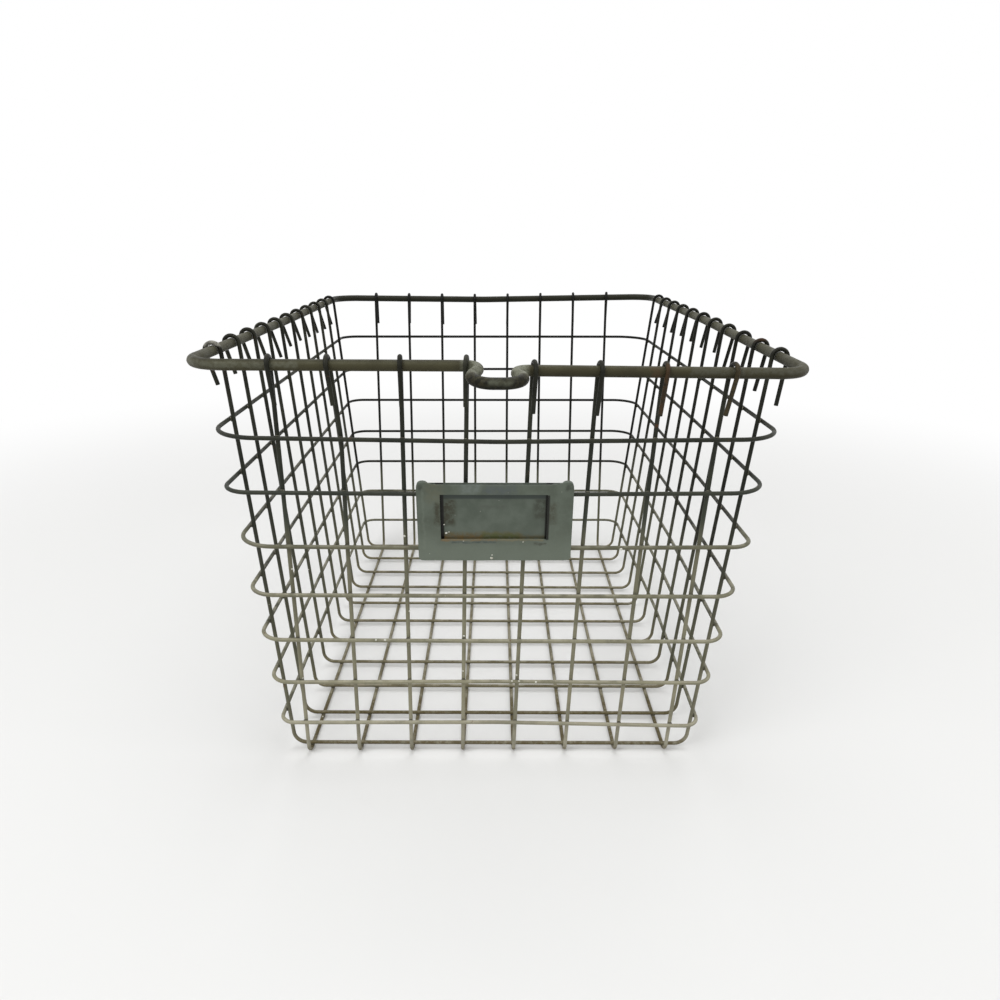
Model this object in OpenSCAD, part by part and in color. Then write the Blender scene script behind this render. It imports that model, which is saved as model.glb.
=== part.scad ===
// Wire locker basket: an open mesh basket whose wires hook over a heavy rim rod.
// Sizes are in millimetres. The front, with the lock loop and the card holder, faces -Y.
// The origin is the middle of the basket's whole footprint, at the height of the table.

/* [Rim] */
// Width of the rim between the centre lines of its side rods
rim_width = 305; // [280:1:360]
// Depth of the rim between the centre lines of its front and back rods
rim_depth = 396; // [370:1:460]
// Height of the rim rod's centre line above the table
rim_height = 250; // [225:1:300]
// Thickness of the rim rod
rod_thick = 5.6; // [4.8:0.1:6.4]
// Radius of the rim's corners, at the rod's centre line
rim_corner = 21; // [12:1:26]

/* [Lock loop] */
// Distance between the two rods at the loop's neck, centre to centre
loop_neck = 18.4; // [16:0.1:20]
// Width of the loop's belly, centre to centre
loop_belly = 23.9; // [22:0.1:28]
// How far the loop reaches out in front of the rim
loop_reach = 26; // [24:0.5:34]
// How far the loop's belly hangs below the rim
loop_drop = 2.5; // [0:0.1:5]
// Radius of the bends where the rim turns into the loop
loop_neck_bend = 6; // [5:0.1:6.5]
// Radius of the bends at the loop's belly
loop_belly_bend = 10; // [9:0.1:10.5]
// Place of the loop to the right of the rim's middle
loop_x = -1; // [-5:0.5:5]

/* [Mesh] */
// Thickness of the mesh wires
wire_thick = 2.3; // [1.8:0.1:2.8]
// Width of the floor between the side walls' wire centre lines, at table height
floor_width = 251.2; // [230:0.2:275]
// Depth of the floor between the front and back walls' wire centre lines, at table height
floor_depth = 330.1; // [310:0.1:360]
// Radius of the bends between the floor and the walls, at the wire's centre line
floor_bend = 8; // [6:0.5:10]
// Space between a side rod of the rim and the nearest front-to-back wire's hook
side_margin = 40.85; // [38:0.05:50]
// Space between the front rod of the rim and the nearest cross wire, where they meet the floor
end_margin = 39.25; // [38:0.05:50]
// How far the hooks stand off the rim rod
hook_play = 0.3; // [0:0.05:0.5]

/* [Bands] */
// Thickness of the band wires
band_thick = 2.3; // [1.8:0.1:2.8]
// Height of the lowest band's centre line above the table
first_band = 28.2; // [24:0.1:36]
// Distance of the highest band below the rim, centre to centre
top_band_drop = 36.1; // [34:0.1:44]
// Gap that is left where wires and bands lie on each other
weld_gap = 0.05; // [0:0.05:0.2]

/* [Card holder] */
// Width of the card holder
holder_width = 81.7; // [70:0.1:90]
// Height of the card holder along the wall, without its ears
holder_height = 45.1; // [42:0.1:52]
// How far the holder's middle lies below the middle between the fifth and the sixth band
holder_drop = 0.2; // [-2:0.1:4]
// Place of the holder to the right of the basket's middle
holder_x = -1.7; // [-10:0.1:10]
// Width of the window in the holder's face
window_width = 56; // [46:0.5:58]
// Height of the window in the holder's face
window_height = 26.5; // [20:0.1:28]
// Width of the face to the left of the window
window_left = 12.2; // [8:0.1:12.5]
// Height of the face above the window
window_top = 5.6; // [5:0.1:10]
// Thickness of the sheet that the holder is pressed from
sheet_thick = 0.8; // [0.6:0.1:1.2]
// Space for the card between the back plate and the face
card_gap = 1; // [0.6:0.1:1.6]
// Width of the two ears that stand up at the holder's top corners
ear_width = 6.9; // [4:0.1:9]
// Height of the ears above the holder's top edge
ear_rise = 1.3; // [0.5:0.1:3]
// How far the raised panel round the window stands out of the face
panel_rise = 0.4; // [0.2:0.1:0.8]
// Width of the raised panel's border to the left and right of the window
panel_side = 2.9; // [1:0.1:4]
// Height of the raised panel's border below the window
panel_below = 3; // [1:0.1:5]

/* [Hidden] */
// Facets of a full circle
$fn = 48;

// How many of each repeated wire the basket has
front_back_count = 8;
cross_count = 11;
band_count = 7;

// Colours of the rim, the mesh and the sheet
rod_colour = "#4b4a3c";
wire_colour = "#55564a";
sheet_colour = "#5c6761";

half_width = rim_width / 2;
half_depth = rim_depth / 2;
hook_radius = (rod_thick + wire_thick) / 2 + hook_play;

// Everything is laid out round the rim's middle, then moved back by half of what the loop
// stands out further than the hooks at the back
front_reach = half_depth + loop_reach + rod_thick / 2;
back_reach = half_depth + hook_radius + wire_thick / 2;
origin_y = (front_reach - back_reach) / 2;

// The rim is not quite flat: how far each stretch lies above or below rim_height
lift_front_left = 1;
lift_loop_left = 0.8;
lift_loop_right = -1.3;
lift_front_right = -2.5;
lift_right_middle = 1.2;
lift_back_right = 1.7;
lift_back_middle = -1.7;
lift_back_left = -0.9;
lift_left_middle = -0.7;
back_middle_x = -10;

// How much tighter the rim's front right corner is bent than the others
right_corner_closer = 4;

// The rim rod's height above rim_height along each of its four sides
function front_lift(x) = lookup(x, [
    [-half_width, lift_front_left],
    [loop_x - loop_neck / 2, lift_loop_left],
    [loop_x + loop_neck / 2, lift_loop_right],
    [half_width, lift_front_right]
]);
function back_lift(x) = lookup(x, [
    [-half_width, lift_back_left],
    [back_middle_x, lift_back_middle],
    [half_width, lift_back_right]
]);
function left_lift(y) = lookup(y, [
    [-half_depth, lift_front_left],
    [0, lift_left_middle],
    [half_depth, lift_back_left]
]);
function right_lift(y) = lookup(y, [
    [-half_depth, lift_front_right],
    [0, lift_right_middle],
    [half_depth, lift_back_right]
]);

// Straights and bends stop this far short of each other, inside a collar that joins them
seam_gap = 0.05;
collar_half = 0.3;
collar_rise = 0.025;

// Heights of the floor runs: the front-to-back wires lie on the table, the cross wires on them
low_run = wire_thick / 2 + collar_rise;
high_run = low_run + wire_thick + weld_gap;

front_back_pitch = (rim_width - 2 * side_margin) / (front_back_count - 1);
cross_pitch = (rim_depth - 2 * end_margin) / (cross_count - 1);
band_pitch = (rim_height - top_band_drop - first_band) / (band_count - 1);

// Even places of the wires along the rim, before they are pushed askew
function front_back_x(i) = (i - (front_back_count + 1) / 2) * front_back_pitch;
function cross_y(j) = (j - (cross_count + 1) / 2) * cross_pitch;

// The floor has been pushed askew of the rim: how far the wires' feet, at the bottom of each
// wall, and their tops, at the rim, lie from the even places
front_foot_shifts = [-6, -6.4, -5.5, -5.3, -5.2, -4.8, -4.7, -4.9];
back_foot_shift = -2.5;
back_top_shift = -2.8;
front_top_shifts = [1.2, 1.4, 0.2, 0.5, 0.5, 0.5, 0.6, 0.1];
left_foot_shift = 1.6;
right_foot_shift = -1.2;
cross_top_shift = 3.1;
cross_top_closer = 0.976;

// How far each front wire's top has been knocked aside, above a knee in its topmost stretch
front_knocks = [0, -4, 0, 0, 0, 0, 0, 1.2];
knee_z = 213;

// How far each hook and its tail's end lie to the side of the wire's top
front_hooks = [0.4, 0, 0.5, -0.6, 1.15, 1.1, 0.3, 1.6];
front_tail_ends = [2, 2, 0.4, -0.8, 0.1, -0.6, -1.6, -2.1];
back_hooks = [0.1, 0.2, 0.4, 0.3, 0.5, 0.7, 0.6, 1.9];
back_tail_ends = [0.6, -0.3, 0.7, 0.9, 0.1, 0.7, 1.1, 1.3];
left_tail_ends = [2, 2, 3, 4, 5, 6, 6, 5, 4, 4, 3];
right_tail_ends = [-2, 3, 3, 5, 2, 2, 2, 3, 4, 2, 3];

// How far each hook's tail ends below the rim rod's centre line
front_tails = [19, 18.9, 19.5, 19.4, 20.5, 21.1, 21, 20.6];
back_tails = [24, 23.5, 24.4, 23.8, 24.2, 24, 23.4, 24.3];
left_tails = [18.7, 18, 20.5, 22, 22.7, 19.4, 19.4, 20.5, 21.1, 21.6, 21];
right_tails = [26.4, 26, 22, 24, 19.1, 20.7, 20.5, 20.4, 21.8, 20.9, 21];

// How many degrees the tails close in towards their wall
end_tail_close = 6;
left_tail_close = 13;
right_tail_closes = [8, 8, 8, 8, 8, 10, 10, 10, 11, 12, 14];

// The side walls' feet lie to the left of the rim's middle, and bulge out or in at the front,
// the middle and the back
foot_shift = -2.6;
bulge_middle_y = -20;
left_bulge = [-0.5, 0.6, 0.2];
right_bulge = [-2.7, 1.5, -1];
function bulge(bulges, y) = lookup(y, [
    [-floor_depth / 2, bulges[0]],
    [bulge_middle_y, bulges[1]],
    [floor_depth / 2, bulges[2]]
]);
function left_foot(y) = floor_width / 2 - foot_shift + bulge(left_bulge, y);
function right_foot(y) = floor_width / 2 + foot_shift + bulge(right_bulge, y);

// The bands' corners are bent tighter towards the floor, and at the front still a bit more
band_corners = [12, 15, 17, 19, 21, 23, 26];
band_back_left_corners = [10, 11, 12, 12, 13, 13, 14];
band_left_corners = [9, 12, 14, 15, 21, 15, 25];
band_right_corners = [10, 11, 12, 14, 12, 21, 23];

// How far the bands' front stretches hang at the left corner, the middle and the right corner
band_left_drops = [0, 0, 0.2, 0.8, 0.8, -0.3, 0.3];
band_middle_drops = [0.4, 0, 1.6, 1.7, 2.2, 1, 2.5];
band_right_drops = [4.2, 1.6, 2.3, 2.4, 1.4, 0, 0.8];

// How far the bands' back left corners hang
band_back_left_drops = [0, 0, 0.5, 0.9, 0.6, 1.6, 1];

// Half the length of the faint bends in the middle of a long stretch, which stand as radius 0
faint_run = 4;

function unit(v) = v / norm(v);
function angle_between(a, b) = acos(max(-1, min(1, unit(a) * unit(b))));

// Angle from upright of a wall wire that starts at foot and just touches the hook circle round
// a rim rod at the given reach and height
function wall_angle(foot, reach, height) =
    atan2(reach - foot, height)
    - asin(hook_radius / norm([reach - foot, height]));

side_angle = wall_angle(floor_width / 2, half_width, rim_height);
end_angle = wall_angle(floor_depth / 2, half_depth, rim_height);

// Distance from the basket's middle of a side wall with the given foot, and of the end walls
function side_wall(foot, z) = foot + z * tan(wall_angle(foot, half_width, rim_height));
function end_wall(z) = floor_depth / 2 + z * tan(end_angle);

// Corner of the bend that a hook makes between two directions, both given as turns from upright
function hook_corner(reach, height, from, to) =
    [reach, height]
    + hook_radius / cos((to - from) / 2) * [-cos((from + to) / 2), sin((from + to) / 2)];

// One half of a mesh wire from its foot to its tail's end: corners as [outwards, along the
// rim, up], where the places along the rim are those of the foot, the top, the hook and the end
function half_wire(foot, reach, height, run_z, tail, close, along) =
    let (
        alpha = wall_angle(foot, reach, height),
        over = (180 + close - alpha) / 2,
        inner = hook_corner(reach, height, alpha, alpha + over),
        outer = hook_corner(reach, height, alpha + over, alpha + 2 * over),
        drop = tail + outer[1] - height
    )
    [
        [foot + run_z * tan(alpha), along[0], run_z],
        [inner[0], along[1], inner[1]],
        [outer[0], along[2], outer[1]],
        [outer[0] - drop * tan(close), along[3], height - tail]
    ];

// Radius of the outer bend of a hook, so that it starts where the inner bend ends
function outer_bend(h) = norm(h[2] - h[1]) / 2 / tan(angle_between(h[2] - h[1], h[3] - h[2]) / 2);

// The same corners on the left, the front and the back wall; on the right wall they stay as is
function at_left(h) = [for (p = h) [-p[0], p[1], p[2]]];
function at_front(h) = [for (p = h) [p[1], -p[0], p[2]]];
function at_back(h) = [for (p = h) [p[1], p[0], p[2]]];

// A straight round rod between two points
module rod_between(from, to, thick) {
    run = to - from;
    long = norm(run);
    translate(from)
        rotate([0, atan2(norm([run[0], run[1]]), run[2]), atan2(run[1], run[0])])
            cylinder(h = long, d = thick);
}

// The bend between two directions that starts at a point, cut short by seam_gap at both ends
module rod_bend(start, before, after, radius, thick) {
    turn = angle_between(before, after);
    side = unit(after - (after * before) * before);
    up = cross(-side, before);
    centre = start + radius * side;
    short = seam_gap / radius * 180 / PI;
    multmatrix([
        [-side[0], before[0], up[0], centre[0]],
        [-side[1], before[1], up[1], centre[1]],
        [-side[2], before[2], up[2], centre[2]],
        [0, 0, 0, 1]
    ])
        rotate([0, 0, short])
            rotate_extrude(angle = turn - 2 * short)
                translate([radius, 0])
                    circle(d = thick);
}

// The collar that joins a straight to the bend beside it, hair-thin all round the rod
module collar(centre, way, half_long, thick) {
    rod_between(centre - half_long * way, centre + half_long * way, thick + 2 * collar_rise);
}

// The straight stretch between two joins, or just one collar where two bends all but meet
module rod_straight(from, to, thick, from_end, to_end) {
    way = unit(to - from);
    long = norm(to - from);
    if (long > 3 * collar_half) {
        rod_between(from + (from_end ? 0 : seam_gap) * way, to - (to_end ? 0 : seam_gap) * way, thick);
        if (!from_end) collar(from, way, collar_half, thick);
        if (!to_end) collar(to, way, collar_half, thick);
    } else {
        collar((from + to) / 2, way, long / 2 + collar_half, thick);
    }
}

// A round rod that follows straight lines through the points, with a bend of the given radius at
// each, or a faint bend where the radius is 0; a closed rod ends where it starts
module bent_rod(points, radii, thick, closed = false) {
    count = len(points);
    ways = [for (i = [0:count - 1]) unit(points[(i + 1) % count] - points[i])];
    turns = [for (i = [0:count - 1]) angle_between(ways[(i + count - 1) % count], ways[i])];
    cuts = [for (i = [0:count - 1])
        radii[i] > 0 ? radii[i] * tan(turns[i] / 2) : closed ? faint_run : 0];
    last = closed ? count - 1 : count - 2;
    for (i = [0:last]) {
        next = (i + 1) % count;
        // A straight that two bends have used up keeps the direction of its corners
        spare = norm(points[next] - points[i]) - cuts[i] - cuts[next];
        from = points[i] + cuts[i] * ways[i];
        rod_straight(
            from, from + max(spare, 0.001) * ways[i], thick,
            !closed && i == 0, !closed && i == last
        );
    }
    for (i = [0:count - 1])
        if (closed || (i > 0 && i < count - 1)) {
            before = ways[(i + count - 1) % count];
            radius = cuts[i] / tan(turns[i] / 2);
            rod_bend(points[i] - cuts[i] * before, before, ways[i], radius, thick);
        }
}

// Radius of a faint bend at the middle one of three points
function faint_bend(a, b, c) = faint_run / tan(angle_between(b - a, c - b) / 2);

// A whole mesh wire from two halves that meet under the floor; the first may have a knee
module mesh_wire(start, end, knee = []) {
    points = concat([start[3], start[2], start[1]], knee, [start[0]], end);
    radii = concat(
        [0, outer_bend(start), hook_radius],
        [for (k = knee) faint_bend(start[1], k, start[0])],
        [floor_bend, floor_bend, hook_radius, outer_bend(end), 0]
    );
    color(wire_colour)
        from_rim_middle()
            bent_rod(points, radii, wire_thick);
}

module from_rim_middle() {
    translate([0, origin_y, 0]) children();
}

// The heavy rod that runs round the basket's mouth and bends out into the lock loop
module rim_rod() {
    bends = loop_neck_bend + loop_belly_bend;
    widening = (loop_belly - loop_neck) / 2;
    // The loop's sides flare by the angle at which both bends meet them without a step
    a = loop_reach - 2 * bends;
    b = 2 * (bends - widening);
    slope = abs(a) < 0.001
        ? loop_reach / b
        : (-b + sqrt(b * b + 4 * a * loop_reach)) / (2 * a);
    neck = loop_neck / 2 + loop_neck_bend * (1 - slope);
    belly = loop_belly / 2 + loop_belly_bend * (slope - 1);
    loop_y = -half_depth - loop_reach;
    loop_lift = (lift_loop_left + lift_loop_right) / 2 - loop_drop;
    points = [
        [-half_width, -half_depth, lift_front_left],
        [loop_x - neck, -half_depth, lift_loop_left],
        [loop_x - belly, loop_y, loop_lift],
        [loop_x + belly, loop_y, loop_lift],
        [loop_x + neck, -half_depth, lift_loop_right],
        [half_width, -half_depth, lift_front_right],
        [half_width, 0, lift_right_middle],
        [half_width, half_depth, lift_back_right],
        [back_middle_x, half_depth, lift_back_middle],
        [-half_width, half_depth, lift_back_left],
        [-half_width, 0, lift_left_middle]
    ];
    radii = [
        rim_corner, loop_neck_bend, loop_belly_bend, loop_belly_bend, loop_neck_bend,
        rim_corner - right_corner_closer, 0, rim_corner, 0, rim_corner, 0
    ];
    color(rod_colour)
        translate([0, 0, rim_height])
            from_rim_middle()
                bent_rod(points, radii, rod_thick, closed = true);
}

// A wire from the front rim, down the front wall, under the floor and up to the back rim
module front_back_wire(i) {
    even_x = front_back_x(i);
    front_x = even_x + front_top_shifts[i - 1];
    top_x = front_x + front_knocks[i - 1];
    back_x = even_x + back_top_shift;
    front_half = half_wire(
        floor_depth / 2, half_depth, rim_height + front_lift(front_x), low_run,
        front_tails[i - 1], end_tail_close,
        [
            even_x + front_foot_shifts[i - 1], top_x,
            top_x + front_hooks[i - 1], top_x + front_tail_ends[i - 1]
        ]
    );
    back_half = half_wire(
        floor_depth / 2, half_depth, rim_height + back_lift(back_x), low_run,
        back_tails[i - 1], end_tail_close,
        [
            even_x + back_foot_shift, back_x,
            back_x + back_hooks[i - 1], back_x + back_tail_ends[i - 1]
        ]
    );
    foot = front_half[0];
    up = (knee_z - foot[2]) / (front_half[1][2] - foot[2]);
    straight_top = [front_half[1][0], front_x, front_half[1][2]];
    knee = at_front([foot + up * (straight_top - foot)]);
    mesh_wire(at_front(front_half), at_back(back_half), front_knocks[i - 1] == 0 ? [] : knee);
}

// A wire from the left rim, down the left wall, over the floor runs and up to the right rim
module cross_wire(j) {
    even_y = cross_y(j);
    top_y = cross_top_closer * even_y + cross_top_shift;
    left_y = even_y + left_foot_shift;
    right_y = even_y + right_foot_shift;
    left_half = half_wire(
        left_foot(left_y), half_width, rim_height + left_lift(top_y), high_run,
        left_tails[j - 1], left_tail_close,
        [left_y, top_y, top_y, top_y + left_tail_ends[j - 1]]
    );
    right_half = half_wire(
        right_foot(right_y), half_width, rim_height + right_lift(top_y), high_run,
        right_tails[j - 1], right_tail_closes[j - 1],
        [right_y, top_y, top_y, top_y + right_tail_ends[j - 1]]
    );
    mesh_wire(at_left(left_half), right_half);
}

function band_z(k) = first_band + (k - 1) * band_pitch;

// A closed hoop round the outside of the wall wires
module band_hoop(k) {
    back_z = band_z(k);
    left_z = back_z - band_left_drops[k - 1];
    middle_z = back_z - band_middle_drops[k - 1];
    right_z = back_z - band_right_drops[k - 1];
    back_left_z = back_z - band_back_left_drops[k - 1];
    out = (wire_thick + band_thick) / 2 + weld_gap;
    function left_x(y, z) = -side_wall(left_foot(y), z) - out / cos(side_angle);
    function right_x(y, z) = side_wall(right_foot(y), z) + out / cos(side_angle);
    function end_y(z) = end_wall(z) + out / cos(end_angle);
    left_side_z = (left_z + back_left_z) / 2;
    right_side_z = (right_z + back_z) / 2;
    points = [
        [left_x(-end_y(left_z), left_z), -end_y(left_z), left_z],
        [0, -end_y(middle_z), middle_z],
        [right_x(-end_y(right_z), right_z), -end_y(right_z), right_z],
        [right_x(bulge_middle_y, right_side_z), bulge_middle_y, right_side_z],
        [right_x(end_y(back_z), back_z), end_y(back_z), back_z],
        [left_x(end_y(back_left_z), back_left_z), end_y(back_left_z), back_left_z],
        [left_x(bulge_middle_y, left_side_z), bulge_middle_y, left_side_z]
    ];
    back = band_corners[k - 1];
    back_left = band_back_left_corners[k - 1];
    left = band_left_corners[k - 1];
    right = band_right_corners[k - 1];
    color(wire_colour)
        from_rim_middle()
            bent_rod(
                points,
                [left, 0, right, 0, back, back_left, 0],
                band_thick,
                closed = true
            );
}

// How far the holder's inner side stands off the centre line of the front wall's wires
holder_out = wire_thick / 2 + band_thick + 2 * weld_gap;
face_back = sheet_thick + card_gap;
holder_depth = face_back + sheet_thick;
holder_z = (band_z(5) + band_z(6)) / 2 - holder_drop;

// Places a piece on the front wall: X across, Y up the wall, Z straight out of it
module on_front_wall() {
    from_rim_middle()
        translate([holder_x, -end_wall(holder_z), holder_z])
            rotate([90 + end_angle, 0, 0])
                translate([0, 0, holder_out])
                    children();
}

// A flat block centred across the holder, given by its edges
module sheet_block(left, right, bottom, top, back, thick) {
    translate([left, bottom, back])
        cube([right - left, top - bottom, thick]);
}

// Left and bottom edges of the window, measured from the holder's middle
window_x = -holder_width / 2 + window_left;
window_y = holder_height / 2 - window_top - window_height;
sheet_play = 0.1;

// The flat plate behind the card, which lies on the bands
module holder_back_plate() {
    wide = holder_width / 2 - sheet_thick - sheet_play;
    color(sheet_colour)
        on_front_wall()
            sheet_block(
                -wide, wide,
                -holder_height / 2 + sheet_thick + sheet_play, holder_height / 2,
                0, sheet_thick
            );
}

// Radii of the face's lower corners and of its ears
face_corner = 2.8;
ear_corner = 2.4;

// A block like sheet_block whose four corners are rounded
module rounded_block(left, right, bottom, top, back, thick, radius) {
    sheet_block(left + radius, right - radius, bottom, top, back, thick);
    sheet_block(left, right, bottom + radius, top - radius, back, thick);
    for (x = [left + radius, right - radius], y = [bottom + radius, top - radius])
        translate([x, y, back])
            cylinder(h = thick, r = radius);
}

// The face with its window, ears, raised panel and the three walls that close the pocket
module holder_face() {
    half = holder_width / 2;
    low = -holder_height / 2;
    high = holder_height / 2;
    ear_top = high + ear_rise;
    ear_low = ear_top - 3 * ear_corner;
    past = 1;
    color(sheet_colour)
        on_front_wall()
            difference() {
                union() {
                    rounded_block(-half, half, low, high, face_back, sheet_thick, face_corner);
                    for (left = [-half, half - ear_width])
                        rounded_block(
                            left, left + ear_width, ear_low, ear_top,
                            face_back, sheet_thick, ear_corner
                        );
                    for (left = [-half, half - sheet_thick])
                        sheet_block(
                            left, left + sheet_thick,
                            low + face_corner, high - face_corner, 0, holder_depth
                        );
                    sheet_block(
                        -half + face_corner, half - face_corner,
                        low, low + sheet_thick, 0, holder_depth
                    );
                    sheet_block(
                        window_x - panel_side, window_x + window_width + panel_side,
                        window_y - panel_below, high,
                        face_back, sheet_thick + panel_rise
                    );
                }
                sheet_block(
                    window_x, window_x + window_width,
                    window_y, window_y + window_height,
                    face_back - past, sheet_thick + panel_rise + 2 * past
                );
            }
}

rim_rod();
for (i = [1:front_back_count])
    front_back_wire(i);
for (j = [1:cross_count])
    cross_wire(j);
for (k = [1:band_count])
    band_hoop(k);
holder_back_plate();
holder_face();
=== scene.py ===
"""Looks for a wire locker basket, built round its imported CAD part.

The CAD nodes keep their meshes, apart from the card holder's face, which a pressed sheet
replaces. This script gives every piece its finish, adds the spot welds, the flecks of bare metal
and the holder's face, and sets the floor, the light and the camera.
"""

import logging
import math
from dataclasses import dataclass
from enum import Enum

import bmesh
import bpy
from mathutils import Matrix, Vector, noise
from mathutils.bvhtree import BVHTree
from mathutils.geometry import intersect_line_line

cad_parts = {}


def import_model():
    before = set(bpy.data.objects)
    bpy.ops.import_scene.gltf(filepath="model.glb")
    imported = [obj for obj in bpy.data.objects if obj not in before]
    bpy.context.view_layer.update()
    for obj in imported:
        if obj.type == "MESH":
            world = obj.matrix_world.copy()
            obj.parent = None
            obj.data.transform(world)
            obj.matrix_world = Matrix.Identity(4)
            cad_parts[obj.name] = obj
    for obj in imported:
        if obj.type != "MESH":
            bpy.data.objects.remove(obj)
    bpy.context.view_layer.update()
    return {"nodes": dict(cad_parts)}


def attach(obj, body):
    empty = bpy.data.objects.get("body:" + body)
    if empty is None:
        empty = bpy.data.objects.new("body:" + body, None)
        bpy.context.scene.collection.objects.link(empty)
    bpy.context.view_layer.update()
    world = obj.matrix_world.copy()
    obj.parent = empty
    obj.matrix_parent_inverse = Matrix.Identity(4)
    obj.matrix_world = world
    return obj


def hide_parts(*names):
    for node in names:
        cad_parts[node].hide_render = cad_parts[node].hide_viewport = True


LOG = logging.getLogger("locker_basket")
MM = 0.001
BODY = "root"

Colour = tuple[float, float, float, float]
Range = tuple[float, float]
Socket = bpy.types.NodeSocket
Line = tuple[Vector, Vector]
Stops = tuple[tuple[float, Colour], ...]


class Slot(Enum):
    """The record's material slots."""

    RIM = "rim"
    MESH = "mesh"
    BANDS = "bands"
    SHEET = "sheet"


def paint(red: float, green: float, blue: float) -> Colour:
    """Turns a colour as it is seen on a screen into the shader's numbers.

    Args:
        red: Red from 0 to 255.
        green: Green from 0 to 255.
        blue: Blue from 0 to 255.

    Returns:
        The linear colour, with full cover.
    """

    def linear(level: float) -> float:
        """Undoes the screen's curve for one channel."""
        part = level / 255
        return part / 12.92 if part <= 0.04045 else ((part + 0.055) / 1.055) ** 2.4

    return linear(red), linear(green), linear(blue), 1.0


def lookup(at: float, places: tuple[tuple[float, float], ...]) -> float:
    """Reads a value off straight lines between given places.

    Args:
        at: The place to read at.
        places: Pairs of place and value, in rising order.

    Returns:
        The value, held level before the first place and after the last.
    """
    if at <= places[0][0]:
        return places[0][1]
    for (start, low), (end, high) in zip(places, places[1:]):
        if at <= end:
            return low + (high - low) * (at - start) / (end - start)
    return places[-1][1]


def ease(value: float, start: float, end: float) -> float:
    """Passes smoothly from 0 at start to 1 at end."""
    part = max(0.0, min(1.0, (value - start) / (end - start)))
    return part * part * (3 - 2 * part)


# Finishes


@dataclass(frozen=True)
class Mark:
    """A stain, a rust patch, a worn place, a painted shadow or a painted highlight, as a soft-edged box in its
    finish's coordinates.
    """

    colour: Colour
    strength: float
    x: Range | None = None
    y: Range | None = None
    z: Range | None = None
    soft: float = 0.6
    frayed: bool = True


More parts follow.
